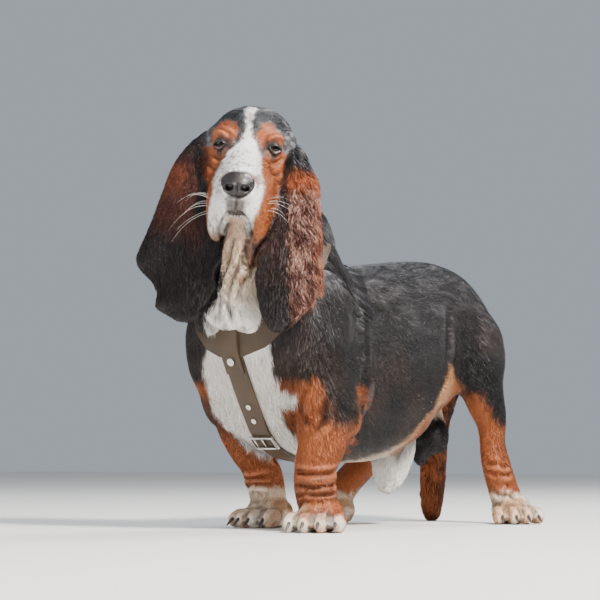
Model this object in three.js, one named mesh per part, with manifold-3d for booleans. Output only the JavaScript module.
// A life-size standing basset hound in a leather chest harness, as a set of closed solids.
// Millimetres, +Z up. The dog faces -Y, its left side is +X and the floor is z = 0.
import * as THREE from 'three';
import { LoftGeometry } from 'three/addons/geometries/LoftGeometry.js';
import { mergeVertices } from 'three/addons/utils/BufferGeometryUtils.js';
import Module from 'manifold-3d';

const wasm = await Module();
wasm.setup();

// Driving dimensions
const partGap = 0.35;
const withersHeight = 361;
const loinHeight = 379;
const keelHeight = 86;
const chestHalf = 106;
const loinHalf = 92;
const prosternum = 126;
const rumpEnd = -468;
const headTurn = 31;
const headDrop = 24;
const headTilt = 5.6;
const stopPlace = [18.4, 117.5, 493.2];
const skullHalf = 60;
const skullTop = 35;
const eyeRadius = 11.5;
const eyeSpread = 33.5;
const noseHalf = 22;
const earThickness = 8;
const strapWidth = 30;
const strapThickness = 4;
const girthWidth = 14;
const girthDepth = 2.5;
const clawLength = 15;
const clawRadius = 3.6;
const foreToeSpread = 31;
const hindToeSpread = 28;

// Places are given as left, forward and up.
const at = (left, forward, up) => new THREE.Vector3(left, -forward, up);
const radians = THREE.MathUtils.degToRad;

// The head has its own frame, with its origin at the stop, on the line of the bridge.
const headFrame = new THREE.Matrix4().compose(
  at(...stopPlace),
  new THREE.Quaternion().setFromEuler(
    new THREE.Euler(radians(headDrop), radians(headTilt), radians(headTurn), 'ZXY'),
  ),
  new THREE.Vector3(1, 1, 1),
);
const face = (left, forward, up) => at(left, forward, up).applyMatrix4(headFrame);

// A closed geometry as a solid that can be joined and cut.
function solid(geometry) {
  const plain = new THREE.BufferGeometry().copy(geometry);
  for (const name of ['normal', 'uv']) plain.deleteAttribute(name);
  const merged = mergeVertices(plain, 1e-4);
  return new wasm.Manifold(new wasm.Mesh({
    numProp: 3,
    vertProperties: new Float32Array(merged.attributes.position.array),
    triVerts: new Uint32Array(merged.index.array),
  }));
}

const join = (...solids) => solids.reduce((sum, next) => sum.add(next));

// Values on a smooth run through the rows of a table, where t counts rows.
function between(rows, t) {
  const last = rows.length - 1;
  const i = Math.min(Math.floor(t), last - 1);
  const u = t - i;
  const row = (k) => rows[Math.max(0, Math.min(last, k))];
  return rows[i].map((_, c) => {
    const [before, a, b, after] = [row(i - 1)[c], row(i)[c], row(i + 1)[c], row(i + 2)[c]];
    const bend = 2 * before - 5 * a + 4 * b - after;
    const twist = 3 * (a - b) + after - before;
    return a + 0.5 * u * (b - before + u * (bend + u * twist));
  });
}

// A solid through rings placed along a table of rows. ring(values, angle, t) gives a point.
function loft(rows, rings, sides, ring) {
  const sections = [];
  for (let r = 0; r <= rings; r++) {
    const t = (r / rings) * (rows.length - 1);
    const values = between(rows, t);
    const section = [];
    for (let s = 0; s < sides; s++) section.push(ring(values, (2 * Math.PI * s) / sides, t));
    sections.push(section);
  }
  return solid(new LoftGeometry(sections, { closed: true, capStart: true, capEnd: true }));
}

const rounded = (value, squareness) => Math.sign(value) * Math.abs(value) ** (2 / squareness);

// A body seen in sections across its length, from back to front.
// A row is forward, top, bottom, half width, centre, and how high the widest place is.
function hull(rows, rings, sides, grow, place = at, squareness = 2.2) {
  return loft(rows, rings, sides, ([forward, top, bottom, half, centre, waist], angle, t) => {
    const end = t < 0.01 ? -grow : t > rows.length - 1.01 ? grow : 0;
    const middle = bottom + waist * (top - bottom);
    const lift = rounded(Math.sin(angle), squareness);
    const reach = lift > 0 ? top - middle : middle - bottom;
    const side = rounded(Math.cos(angle), squareness) * (half + grow);
    return place(centre + side, forward + end, middle + lift * (reach + grow));
  });
}

// A column seen in level sections, from its foot up.
// A row is up, front, back, half width, centre.
function column(rows, rings, sides, grow, squareness = 2.1) {
  return loft(rows, rings, sides, ([up, front, back, half, centre], angle, t) => {
    const end = t < 0.01 ? -grow : t > rows.length - 1.01 ? grow : 0;
    const middle = (front + back) / 2;
    const depth = (front - back) / 2 + grow;
    const side = rounded(Math.cos(angle), squareness) * (half + grow);
    return at(centre + side, middle - rounded(Math.sin(angle), squareness) * depth, up + end);
  });
}

// A limb along a curved path, from its root to its end.
// A row is left, forward, up, half width across and half depth.
function limb(rows, rings, sides, grow) {
  const point = (t) => at(...between(rows, Math.max(0, Math.min(rows.length - 1, t))).slice(0, 3));
  return loft(rows, rings, sides, ([left, forward, up, across, deep], angle, t) => {
    const along = point(t + 0.05).sub(point(t - 0.05)).normalize();
    const side = new THREE.Vector3(1, 0, 0).addScaledVector(along, -along.x).normalize();
    const front = along.clone().cross(side);
    const end = t < 0.01 ? -grow : t > rows.length - 1.01 ? grow : 0;
    return at(left, forward, up)
      .addScaledVector(side, Math.cos(angle) * (across + grow))
      .addScaledVector(front, Math.sin(angle) * (deep + grow))
      .addScaledVector(along, end);
  });
}

// An egg-shaped mass: centre, half sizes across, along and up, and its turns in degrees.
function egg(centre, size, turns, grow, frame = new THREE.Matrix4(), sides = 12, rings = 8) {
  const [pitch, roll, yaw] = turns.map(radians);
  const shape = new THREE.SphereGeometry(1, sides, rings);
  shape.scale(size[0] + grow, size[1] + grow, size[2] + grow);
  shape.applyMatrix4(new THREE.Matrix4().makeRotationFromEuler(new THREE.Euler(pitch, roll, yaw, 'ZXY')));
  const place = at(...centre);
  shape.translate(place.x, place.y, place.z);
  return solid(shape.applyMatrix4(frame));
}

// A solid as a three.js surface.
function surface(body) {
  const { vertProperties, triVerts, numProp } = body.getMesh();
  const points = new Float32Array((vertProperties.length / numProp) * 3);
  for (let i = 0; i < points.length; i++) {
    points[i] = vertProperties[Math.floor(i / 3) * numProp + (i % 3)];
  }
  const geometry = new THREE.BufferGeometry();
  geometry.setAttribute('position', new THREE.BufferAttribute(points, 3));
  geometry.setIndex(new THREE.BufferAttribute(new Uint32Array(triVerts), 1));
  geometry.computeVertexNormals();
  return geometry;
}

const hound = new THREE.Group();

// The largest piece of a solid becomes a named mesh; slivers that a cut leaves are dropped.
function node(name, body, finish) {
  const pieces = body.decompose();
  pieces.sort((a, b) => b.volume() - a.volume());
  const mesh = new THREE.Mesh(surface(pieces[0]), new THREE.MeshStandardMaterial(finish));
  mesh.name = name;
  hound.add(mesh);
}

const black = { color: 0x1c1a19, roughness: 0.62, metalness: 0 };
const tan = { color: 0x9a4f20, roughness: 0.7, metalness: 0 };
const white = { color: 0xe9e2d6, roughness: 0.75, metalness: 0 };
const earBrown = { color: 0x3a1f16, roughness: 0.68, metalness: 0 };
const horn = { color: 0x4c443c, roughness: 0.4, metalness: 0 };
const wetBlack = { color: 0x15110f, roughness: 0.25, metalness: 0 };
const strapBrown = { color: 0x5b4728, roughness: 0.7, metalness: 0 };
const steel = { color: 0xb9b4ab, roughness: 0.3, metalness: 1 };

const sides = [['left', 1], ['right', -1]];

// A block between two corners, in the dog's frame or in another one, less a gap all round.
function block(low, high, gap = 0, frame = new THREE.Matrix4()) {
  const size = high.map((value, k) => value - low[k] - 2 * gap);
  const middle = high.map((value, k) => (value + low[k]) / 2);
  const shape = new THREE.BoxGeometry(...size);
  const place = at(...middle);
  return solid(shape.translate(place.x, place.y, place.z).applyMatrix4(frame));
}

// Anything under the floor is cut away, which leaves small flats that the dog stands on.
const underFloor = block([-600, -900, -80], [600, 600, 0]);

// Trunk
const trunkRows = [
  [rumpEnd, 298, 258, 18, 0, 0.5],
  [-456, 316, 234, 40, 0, 0.5],
  [-430, 336, 214, 60, 0, 0.5],
  [-390, 357, 203, 76, 0, 0.5],
  [-350, loinHeight - 4, 184, 86, 0, 0.52],
  [-310, loinHeight, 153, loinHalf, 0, 0.5],
  [-262, 377, 119, 98, 0, 0.48],
  [-210, 371, 96, 104, 0, 0.46],
  [-160, 365, keelHeight + 1, chestHalf, 0, 0.45],
  [-107, withersHeight, keelHeight, chestHalf - 2, 0, 0.45],
  [-50, 356, 88, chestHalf - 4, 0, 0.46],
  [10, 347, 96, chestHalf, 0, 0.48],
  [42, 338, 108, 104, 0, 0.5],
  [70, 325, 138, 95, 0, 0.5],
  [95, 308, 181, 76, 0, 0.5],
  [114, 290, 214, 48, 0, 0.5],
  [prosternum, 272, 234, 20, 0, 0.5],
];
const trunk = (grow) => hull(trunkRows, 16, 14, grow);

// Shoulders with the upper arm and the loose skin at the elbow
const shoulderParts = {
  left: [
    { centre: [76, 46, 256], size: [45, 56, 94], turns: [-14, 5, 0] },
    { centre: [82, 42, 184], size: [39, 48, 62], turns: [0, 0, 0] },
    { centre: [111, 6, 152], size: [9, 15, 36], turns: [-8, 0, 0] },
  ],
  right: [
    { centre: [-78, 46, 252], size: [46, 58, 92], turns: [-14, -5, 0] },
    { centre: [-79, 28, 186], size: [38, 48, 60], turns: [0, 0, 0] },
    { centre: [-104, -26, 152], size: [9, 15, 34], turns: [-8, 0, 0] },
  ],
};
const shoulder = (side, grow) => join(
  ...shoulderParts[side].map(({ centre, size, turns }) => egg(centre, size, turns, grow, undefined, 8, 5)),
);

// Neck and the loose skin of the dewlap in front of it
const dewlapRows = [
  [250, 136, 60, 38, -8],
  [256, 144, 56, 44, -8],
  [268, 146, 52, 42, -6],
  [290, 146, 50, 30, 2],
  [320, 150, 52, 21, 16],
  [350, 155, 60, 20, 24],
  [380, 162, 78, 21, 33],
  [404, 166, 100, 18, 41],
];
const neckRows = [
  [232, 96, -96, 84, 0],
  [275, 106, -106, 88, 0],
  [315, 106, -104, 80, 0],
  [350, 100, -88, 69, 0],
  [385, 98, -54, 61, 1],
  [420, 100, -33, 57, -3],
  [455, 102, -22, 53, -12],
  [486, 92, -6, 42, -20],
];
const dewlap = (grow) => column(dewlapRows, 6, 9, grow);
const neck = (grow) => column(neckRows, 6, 12, grow);

// Head
const skullRows = [
  [-142, 2, -28, 15, 0, 0.5],
  [-131, 21, -48, 38, 0, 0.5],
  [-108, 31, -66, 53, 0, 0.5],
  [-76, skullTop, -77, skullHalf, 0, 0.5],
  [-46, 33, -81, skullHalf, 0, 0.48],
  [-24, 29, -81, 56, 0, 0.46],
  [-12, 21, -79, 47, 0, 0.45],
  [-2, 10, -76, 37, 0, 0.45],
  [10, -2, -70, 30, 0, 0.45],
];
const muzzleRows = [
  [-8, 3, -62, 36, 0, 0.45],
  [12, -2, -62, 35, 0, 0.45],
  [40, -4, -62, 33, 0, 0.45],
  [68, -5, -60, 31, 0, 0.45],
  [88, -6, -56, 28, 0, 0.5],
  [101, -12, -52, 23, 0, 0.5],
  [108, -24, -47, 13, 0, 0.5],
];
const jawRows = [
  [-70, -44, -84, 36, 0, 0.5],
  [-30, -48, -84, 30, 0, 0.5],
  [10, -48, -80, 23, 0, 0.5],
  [50, -46, -77, 17, 0, 0.5],
  [80, -48, -76, 14, 0, 0.5],
  [94, -54, -69, 8, 0, 0.5],
];
const flewRows = [
  [-14, -36, -62, 8, 37, 0.5],
  [12, -26, -80, 12, 34, 0.5],
  [38, -20, -95, 14, 30, 0.5],
  [60, -18, -103, 14, 28, 0.5],
  [78, -18, -100, 13.5, 26.5, 0.5],
  [92, -22, -82, 12, 22, 0.5],
  [101, -30, -60, 9, 16, 0.5],
  [107, -35, -50, 6, 10, 0.5],
];
const flew = (sign, grow) => {
  const rows = flewRows.map((row) => row.map((value, column) => (column === 4 ? sign * value : value)));
  return hull(rows, 6, 8, grow, face);
};
const paired = (centre, size, turns, grow) => sides.map(([, sign]) => egg(
  [sign * centre[0], centre[1], centre[2]], size, turns, grow, headFrame, 6, 4,
));
const head = (grow) => join(
  hull(skullRows, 8, 11, grow, face),
  hull(muzzleRows, 5, 10, grow, face),
  hull(jawRows, 4, 8, grow, face),
  flew(1, grow),
  flew(-1, grow),
  ...paired([31, -20, 13], [19, 15, 11], [-24, 0, 0], grow),
  ...paired([41, -30, -40], [18, 36, 27], [0, 0, 0], grow),
  ...paired([49, -60, -8], [14, 38, 22], [-10, 0, 0], grow),
);

// Forelegs, from the elbow to the wrist
const foreRows = {
  left: [
    [80, 28, 205, 34, 42],
    [83, 32, 168, 37, 45],
    [83, 34, 136, 36, 43],
    [80, 40, 106, 31, 36],
    [77, 48, 82, 27, 29],
    [78, 50, 62, 28, 29],
    [82, 52, 44, 27, 27],
    [86, 54, 28, 25, 25],
  ],
  right: [
    [-78, 14, 205, 34, 42],
    [-81, 6, 168, 34, 44],
    [-82, -8, 136, 32, 41],
    [-79, -24, 106, 29, 34],
    [-75, -40, 82, 25, 28],
    [-73, -46, 62, 26, 28],
    [-72, -50, 44, 25, 26],
    [-72, -52, 28, 24, 24],
  ],
};
const foreleg = (side, grow) => limb(foreRows[side], 7, 9, grow);

// Hind legs: the shank from the knee to the foot, then the thigh
const shankRows = {
  left: [
    [87, -346, 205, 28, 42],
    [90, -352, 182, 27, 37],
    [90, -366, 158, 23, 31],
    [90, -373, 138, 20, 25],
    [91, -371, 118, 18, 21],
    [93, -373, 96, 21, 22],
    [97, -376, 76, 21, 24],
    [102, -380, 54, 22, 24],
    [108, -384, 30, 23, 24],
  ],
  right: [
    [-84, -292, 205, 28, 42],
    [-86, -296, 180, 27, 36],
    [-87, -312, 152, 23, 30],
    [-87, -326, 126, 20, 26],
    [-87, -322, 102, 20, 26],
    [-87, -298, 82, 20, 24],
    [-87, -268, 64, 21, 23],
    [-88, -244, 46, 23, 23],
    [-88, -232, 28, 23, 22],
  ],
};
const thighRows = {
  left: [
    [50, -348, 306, 24, 34],
    [62, -349, 289, 34, 50],
    [73, -352, 266, 36, 60],
    [82, -350, 232, 33, 58],
    [86, -346, 200, 29, 46],
    [88, -350, 182, 24, 34],
  ],
  right: [
    [-50, -344, 306, 24, 34],
    [-62, -340, 289, 34, 50],
    [-73, -330, 266, 36, 58],
    [-82, -312, 232, 33, 56],
    [-84, -294, 200, 29, 45],
    [-85, -296, 182, 24, 33],
  ],
};
const flankFolds = [
  egg([76, -304, 228], [17, 34, 48], [18, 0, 0], 0, undefined, 7, 5),
  egg([-75, -278, 222], [17, 34, 48], [18, 0, 0], 0, undefined, 7, 5),
];

// Tail, hanging behind and resting its tip on the floor
const tailRows = [
  [0, -436, 323, 18, 12],
  [0, -458, 314, 20, 16],
  [-4, -476, 292, 19, 17],
  [-18, -470, 244, 18, 17],
  [-36, -450, 190, 17, 17],
  [-47, -438, 140, 18, 18],
  [-52, -438, 90, 20, 19],
  [-56, -440, 45, 19, 18],
  [-60, -444, 12, 15, 14],
  [-61, -446, -8, 10, 9],
];

// Sheath and scrotum
const sheathRows = [
  [44, -229, -247, 9, 0],
  [50, -218, -256, 14, 0],
  [62, -212, -268, 19, 0],
  [80, -208, -283, 21, 0],
  [105, -206, -298, 24, 0],
  [130, -206, -304, 24, 0],
  [152, -210, -300, 22, 0],
];
const scrotum = join(
  egg([13, -346, 126], [17, 21, 30], [0, 0, 0], 0, undefined, 7, 5),
  egg([-11, -336, 110], [16, 20, 32], [0, 0, 0], 0, undefined, 7, 5),
  egg([0, -346, 162], [20, 26, 36], [0, 0, 0], 0, undefined, 7, 5),
);

// Paws: a palm, four toes spread along an arc, and a claw on each toe.
// The inner toe is the first. turn swings the paw out, in degrees.
const paws = [
  { name: 'forepaw_left', sign: 1, palm: [91, 54], turn: 20, spread: foreToeSpread, size: 1 },
  { name: 'forepaw_right', sign: -1, palm: [-72, -56], turn: 10, spread: foreToeSpread, size: 1 },
  { name: 'hindpaw_left', sign: 1, palm: [112, -388], turn: 50, spread: hindToeSpread, size: 0.95 },
  { name: 'hindpaw_right', sign: -1, palm: [-88, -230], turn: 14, spread: hindToeSpread, size: 0.95 },
];
const toeReach = 36;
const toeUp = 13;
const toeCurve = 9;
const toeFan = 9;

function toePlace(paw, toe, reach, up) {
  const heading = radians(paw.turn * paw.sign);
  const aside = ((toe - 1.5) / 1.5) * paw.spread * paw.sign;
  const forward = reach * paw.size - toeCurve * ((toe - 1.5) / 1.5) ** 2;
  return [
    paw.palm[0] + forward * Math.sin(heading) + aside * Math.cos(heading),
    paw.palm[1] + forward * Math.cos(heading) - aside * Math.sin(heading),
    up,
  ];
}

const toeHeading = (paw, toe) => (paw.turn + (toe - 1.5) * toeFan) * paw.sign;

function claw(paw, toe, grow) {
  const cone = new THREE.CylinderGeometry(clawRadius + grow, 0.9 + grow, clawLength + 2 * grow, 5);
  cone.rotateX(radians(46));
  cone.rotateZ(radians(toeHeading(paw, toe)));
  const place = at(...toePlace(paw, toe, toeReach + 20, 8));
  return solid(cone.translate(place.x, place.y, place.z)).subtract(underFloor);
}

function pawShape(paw) {
  const k = paw.size;
  const palm = egg([...paw.palm, 22], [33 * k, 34 * k, 27], [-12, 0, paw.turn * paw.sign], 0, undefined, 8, 4);
  const toes = [0, 1, 2, 3].map((toe) => egg(
    toePlace(paw, toe, toeReach, toeUp), [11.5 * k, 21 * k, 15.5], [14, 0, toeHeading(paw, toe)],
    0, undefined, 6, 4,
  ));
  return join(palm, ...toes);
}

// Nose leather with its two nostrils
const noseRows = [
  [84, -4, -24, 13, 0, 0.6],
  [93, 0, -30, noseHalf - 2, 0, 0.6],
  [103, -1, -31, noseHalf, 0, 0.6],
  [110, -4, -29, noseHalf - 4, 0, 0.6],
  [114, -9, -23, 11, 0, 0.6],
];
const noseLeather = (grow) => hull(noseRows, 4, 10, grow, face);
const nostrils = sides.map(([, sign]) => egg([sign * 9.5, 113, -17], [4.2, 7, 4.4], [0, 0, 0], 0, headFrame, 6, 4));
const eyeball = (sign, grow) => egg(
  [sign * eyeSpread, -17.5, -1], [eyeRadius, eyeRadius, eyeRadius], [0, 0, 0], grow, headFrame, 10, 7,
);

// Ears: a soft sheet between a front edge, a middle line and a rear edge, each running down.
const earEdges = {
  left: {
    front: [
      face(56, -22, -4), at(60, 84, 462), at(58, 104, 425), at(54, 130, 385),
      at(49, 147, 345), at(50, 150, 312), at(58, 150, 280), at(74, 142, 254),
    ],
    middle: [
      face(66, -60, 2), at(76, 64, 466), at(84, 84, 428), at(90, 106, 388),
      at(93, 122, 346), at(94, 126, 312), at(90, 132, 280), at(82, 138, 250),
    ],
    rear: [
      face(56, -92, -6), at(70, 32, 472), at(82, 46, 430), at(98, 62, 388),
      at(106, 70, 346), at(112, 78, 312), at(104, 104, 281), at(90, 130, 254),
    ],
  },
  right: {
    front: [
      face(-56, -22, -4), at(-44, 124, 482), at(-32, 128, 435), at(-10, 132, 394),
      at(6, 138, 356), at(-8, 140, 315), at(-20, 138, 292), at(-44, 130, 273),
    ],
    middle: [
      face(-66, -60, 2), at(-76, 122, 484), at(-78, 136, 437), at(-78, 142, 396),
      at(-74, 150, 356), at(-68, 148, 315), at(-66, 145, 292), at(-64, 134, 269),
    ],
    rear: [
      face(-56, -92, -6), at(-100, 112, 484), at(-114, 122, 435), at(-126, 133, 394),
      at(-138, 142, 356), at(-117, 134, 315), at(-114, 138, 292), at(-84, 130, 273),
    ],
  },
};

function ear(side) {
  const { front, middle, rear } = earEdges[side];
  const lines = [front, middle, rear].map((points) => new THREE.CatmullRomCurve3(points));
  const rings = 16;
  const around = 9;
  const turn = side === 'left' ? 1 : -1;
  const sections = [];
  for (let r = 0; r <= rings; r++) {
    const [a, m, b] = lines.map((line) => line.getPoint(r / rings));
    const bow = m.clone().multiplyScalar(2).addScaledVector(a, -0.5).addScaledVector(b, -0.5);
    const strip = new THREE.QuadraticBezierCurve3(a, bow, b);
    const section = [];
    for (let s = 0; s < around; s++) {
      const angle = (2 * Math.PI * s) / around;
      const t = 0.5 - 0.5 * Math.cos(angle);
      const along = strip.getTangent(t);
      const out = new THREE.Vector3(along.y, -along.x, 0).normalize();
      const swell = Math.sign(Math.sin(angle)) * Math.abs(Math.sin(angle)) ** 0.5;
      section.push(strip.getPoint(t).addScaledVector(out, (turn * swell * earThickness) / 2));
    }
    sections.push(turn > 0 ? section.reverse() : section);
  }
  return solid(new LoftGeometry(sections, { closed: true, capStart: true, capEnd: true }));
}

// Harness leather: a belt runs over the body along a path. Rays towards a middle find where the
// body is under each of its edges, and the belt bridges hollows.
const shell = join(trunk(0), neck(0), shoulder('left', 0), shoulder('right', 0));
const shellMesh = new THREE.Mesh(surface(shell), new THREE.MeshBasicMaterial());
const ray = new THREE.Raycaster();

function belt(points, width, middle, level) {
  const path = new THREE.CatmullRomCurve3(points.map((point) => at(...point)));
  const steps = points.length;
  const rows = [];
  for (let r = 0; r <= steps; r++) {
    const place = path.getPoint(r / steps);
    const along = path.getTangent(r / steps);
    const out = place.clone().sub(middle);
    out.addScaledVector(along, -out.dot(along)).normalize();
    const across = along.clone().cross(out);
    const heights = [-0.5, 0.5].map((edge) => {
      const start = place.clone().addScaledVector(across, edge * width).addScaledVector(out, 60);
      ray.set(start, out.clone().negate());
      const [hit] = ray.intersectObject(shellMesh);
      return hit ? 60 - hit.distance : 0;
    });
    rows.push({ place, along, out, across, heights });
  }
  for (let r = 1; r < steps; r++) {
    rows[r].heights = rows[r].heights.map((height, edge) => {
      const bridge = (rows[r - 1].heights[edge] + rows[r + 1].heights[edge]) / 2;
      return Math.max(height, bridge);
    });
  }
  if (level) rows.forEach((row) => row.heights.fill((row.heights[0] + row.heights[1]) / 2));
  return { rows, width };
}

// The solid of a belt between two heights over the body, grown at its edges.
function band({ rows, width }, low, high, grow = 0) {
  const corners = [[0, high], [1, high], [1, low], [0, low]];
  const points = rows.flatMap(({ place, out, across, heights }) => corners.map(([edge, height]) => place.clone()
    .addScaledVector(across, (edge - 0.5) * (width + 2 * grow))
    .addScaledVector(out, heights[edge] + height)));
  const last = points.length - 4;
  const faces = [0, 3, 2, 0, 2, 1, last, last + 1, last + 2, last, last + 2, last + 3];
  for (let r = 0; r < last; r += 4) {
    for (let c = 0; c < 4; c++) {
      const next = (c + 1) % 4;
      faces.push(r + c, r + next, r + 4 + next, r + c, r + 4 + next, r + 4 + c);
    }
  }
  return solid(new THREE.BufferGeometry().setFromPoints(points).setIndex(faces));
}

// The chest strap runs down the breast, between the forelegs and under the chest.
const chestPath = [
  [0, 120, 228], [0, 112, 210], [0, 98, 180], [0, 78, 146], [0, 54, 114], [0, 24, 98], [0, -10, 91], [0, -42, 87],
];
const doublePath = [[0, 132, 262], [0, 128, 244], [0, 120, 226], [0, 110, 206]];
const chestMiddle = at(0, -30, 235);

// The neck loop goes from the breast up both sides of the neck to the nape, in two halves.
const neckPath = (sign) => [
  [-sign * 4, 126, 247], [sign * 16, 122, 248], [sign * 34, 112, 259], [sign * 50, 100, 280],
  [sign * 62, 82, 308], [sign * 65, 58, 338], [sign * 60, 30, 364], [sign * 47, 0, 388], [sign * 28, -24, 404],
  [sign * 10, -37, 411], [-sign * 6, -38, 412],
];
const neckMiddle = at(0, 34, 330);

// The girth lies sunk in the fold behind the shoulders.
const girthAhead = (sign) => (sign > 0 ? -38 : -48);
const girthPath = (sign) => [
  [-sign * 8, -126, 362], [sign * 16, -122, 360], [sign * 48, -104, 350], [sign * 78, -72, 322],
  [sign * 97, girthAhead(sign) - 12, 284], [sign * 104, girthAhead(sign), 240], [sign * 103, girthAhead(sign), 192],
  [sign * 90, girthAhead(sign), 148], [sign * 62, -50, 108],
  [sign * 18, -62, 88], [-sign * 8, -62, 87],
];
const girthMiddle = at(0, -54, 225);
const loop = (path, width, middle, level) => sides.map(([, sign]) => belt(path(sign), width, middle, level));
const neckHalves = loop(neckPath, strapWidth, neckMiddle, false);
const girthHalves = loop(girthPath, girthWidth, girthMiddle, true);
const chestRun = belt(chestPath, strapWidth, chestMiddle, false);
const doubleRun = belt(doublePath, strapWidth - 2, chestMiddle, false);
const bands = (halves, ...heights) => join(...halves.map((half) => band(half, ...heights)));
const strapTop = partGap + strapThickness;
const doubleTop = strapTop + partGap + 0.8 * strapThickness;

node('strap_neck', bands(neckHalves, partGap, strapTop), strapBrown);
const neckRoom = bands(neckHalves, -30, strapTop + partGap, partGap);
const girthRoom = bands(girthHalves, -girthDepth - strapThickness - 4 * partGap, 16, 2 * partGap);
node('strap_chest', band(chestRun, partGap, strapTop).subtract(neckRoom).subtract(girthRoom), strapBrown);
node(
  'strap_girth',
  bands(girthHalves, -girthDepth - strapThickness, -girthDepth).subtract(neckRoom),
  strapBrown,
);
const chestRoom = band(chestRun, -30, strapTop + partGap, partGap);
node(
  'strap_double',
  band(doubleRun, partGap, doubleTop).subtract(join(neckRoom, chestRoom)),
  strapBrown,
);
const clearOfHarness = join(
  bands(neckHalves, -1, strapTop + 1, partGap),
  band(chestRun, 0, strapTop + partGap, partGap),
  band(doubleRun, 0, doubleTop + partGap, partGap),
  girthRoom,
);

// Metal on the chest strap. A fitting sits on it at a height, its own z facing out.
function fitting(up, shape, lift) {
  const { rows } = chestRun;
  const k = rows.findIndex(({ place }) => place.z < up);
  const [before, after] = [rows[k - 1], rows[k]];
  const share = (before.place.z - up) / (before.place.z - after.place.z);
  const seat = before.place.clone().lerp(after.place, share);
  const out = before.out.clone().lerp(after.out, share).normalize();
  const height = THREE.MathUtils.lerp(Math.max(...before.heights), Math.max(...after.heights), share);
  const side = new THREE.Vector3(1, 0, 0);
  const place = new THREE.Matrix4().makeBasis(side, out.clone().cross(side), out);
  place.setPosition(seat.addScaledVector(out, height + strapTop + partGap + lift));
  return solid(shape.applyMatrix4(place));
}
const disc = (radius, height) => new THREE.CylinderGeometry(radius, radius, height, 10).rotateX(Math.PI / 2);
node('rivet', fitting(222, disc(5.5, 2), doubleTop - strapTop + 1.8), steel);
for (const [k, up] of [[1, 161], [2, 143]]) node(`grommet_${k}`, fitting(up, disc(4, 1.2), 0.6), steel);
const bars = (grow) => join(
  ...[[0, -10], [0, 10]].map(([, shift]) => fitting(
    116, new THREE.BoxGeometry(38 + grow, 3 + grow, 3 + grow).translate(0, shift, 0), 2,
  )),
  ...[-17.5, 17.5].map((shift) => fitting(
    116, new THREE.BoxGeometry(3 + grow, 23 + grow, 3 + grow).translate(shift, 0, 0), 2,
  )),
);
node('buckle', bars(0), steel);
const pinShape = new THREE.BoxGeometry(2.4, 17, 2).translate(0, 1.2, 0);
node('buckle_pin', fitting(116, pinShape, 1.4).subtract(bars(0.6)), steel);

// The body whole, with room for the harness and sockets for the eyes, nose and claws
let flesh = join(
  shell,
  dewlap(0),
  head(0),
  foreleg('left', 0),
  foreleg('right', 0),
  ...sides.map(([side]) => limb(shankRows[side], 8, 8, 0)),
  ...sides.map(([side]) => limb(thighRows[side], 5, 9, 0)),
  ...flankFolds,
  limb(tailRows, 9, 7, 0),
  column(sheathRows, 5, 8, 0),
  scrotum,
  ...paws.map(pawShape),
).subtract(underFloor).subtract(clearOfHarness);

for (const [side, sign] of sides) {
  flesh = flesh.subtract(eyeball(sign, partGap));
  node(`eye_${side}`, eyeball(sign, 0), wetBlack);
}
flesh = flesh.subtract(noseLeather(partGap));
node('nose', noseLeather(0).subtract(join(...nostrils)), wetBlack);
for (const paw of paws) {
  for (let toe = 0; toe < 4; toe++) {
    flesh = flesh.subtract(claw(paw, toe, partGap));
    node(`claw_${paw.name}_${toe + 1}`, claw(paw, toe, 0), horn);
  }
}

// Ears end where they meet the head.
for (const [side] of sides) {
  node(
    `ear_${side}`,
    ear(side).subtract(join(head(partGap), neck(partGap), dewlap(partGap), neckRoom)),
    earBrown,
  );
}

// The body is parted by thin cuts: each region is a set of overlapping blocks between two corners.
function take(name, finish, blocks, frame) {
  const region = (gap) => join(...blocks.map(([low, high]) => block(low, high, gap, frame)));
  node(name, flesh.intersect(region(partGap)), finish);
  flesh = flesh.subtract(region(0));
}
const mirror = (sign, [low, high]) => (sign > 0
  ? [low, high]
  : [[-high[0], low[1], low[2]], [-low[0], high[1], high[2]]]);

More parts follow.
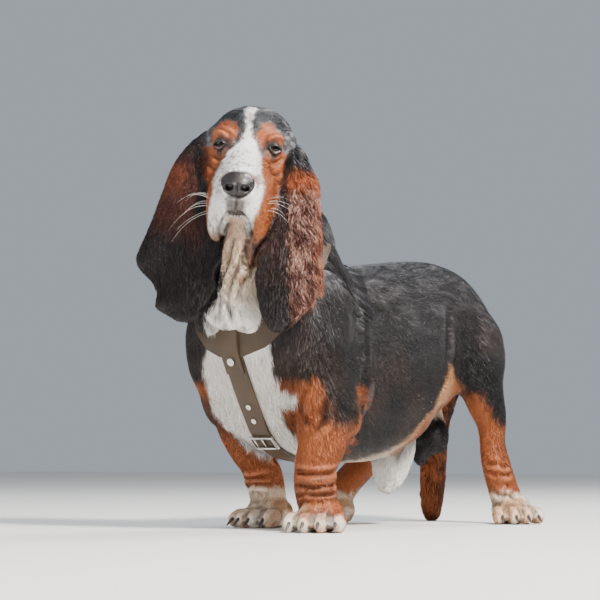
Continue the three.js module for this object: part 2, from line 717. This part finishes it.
take('tail', tan, [
  [[-100, -540, -10], [40, -413, 212]],
  [[-60, -540, 208], [40, -441, 262]],
  [[-60, -540, 258], [60, -460, 345]],
]);
for (const [side, sign] of sides) {
  const name = `flew_${side}`;
  take(name, white, [mirror(sign, [[12, -24, -130], [70, 130, -46]])], headFrame);
}
take('jaw', white, [[[-12, -24, -98], [12, 130, -50]]], headFrame);
take('muzzle', white, [[[-70, -4, -60], [70, 140, 40]]], headFrame);
take('skull', black, [[[-110, -190, -86], [110, 0, 80]]], headFrame);
take('forepaw_left', white, [[[30, -20, -10], [160, 140, 42]]]);
take('forepaw_right', white, [[[-140, -120, -10], [-20, 20, 42]]]);
take('hindpaw_left', white, [[[60, -450, -10], [220, -320, 38]]]);
take('hindpaw_right', white, [[[-150, -290, -10], [-40, -150, 38]]]);
take('foreleg_left', tan, [[[46, -40, 30], [150, 110, 150]]]);
take('foreleg_right', tan, [[[-150, -100, 30], [-46, 100, 150]]]);
take('shank_left', tan, [[[52, -440, 30], [150, -250, 168]]]);
take('shank_right', tan, [[[-150, -400, 30], [-52, -200, 168]]]);
take('sheath', white, [[[-40, -330, 30], [40, -190, 99]], [[-40, -330, 95], [40, -238, 118]]]);
take('scrotum', black, [[[-44, -390, 60], [44, -306, 156]]]);
take('thigh_left', black, [[[44, -470, 160], [150, -262, 330]]]);
take('thigh_right', black, [[[-150, -470, 160], [-44, -236, 330]]]);
take('shoulder_left', black, [[[60, -6, 140], [150, 130, 350]]]);
take('shoulder_right', black, [[[-150, -8, 140], [-60, 130, 350]]]);
take('dewlap', white, [[[-90, 109, 246], [100, 200, 460]]]);
take('neck', black, [[[-110, -96, 300], [110, 150, 520]]]);
take('rump', black, [[[-150, -560, 100], [150, -330, 420]]]);
take('loin', black, [[[-150, -340, 60], [150, -150, 420]]]);
take('chest', black, [[[-150, -160, 60], [150, 160, 420]]]);

// The origin is under the middle of the dog's bounding box, on the floor.
const reach = new THREE.Box3().setFromObject(hound);
const centre = reach.getCenter(new THREE.Vector3());
hound.position.set(-centre.x, -centre.y, -reach.min.z);

export default hound;
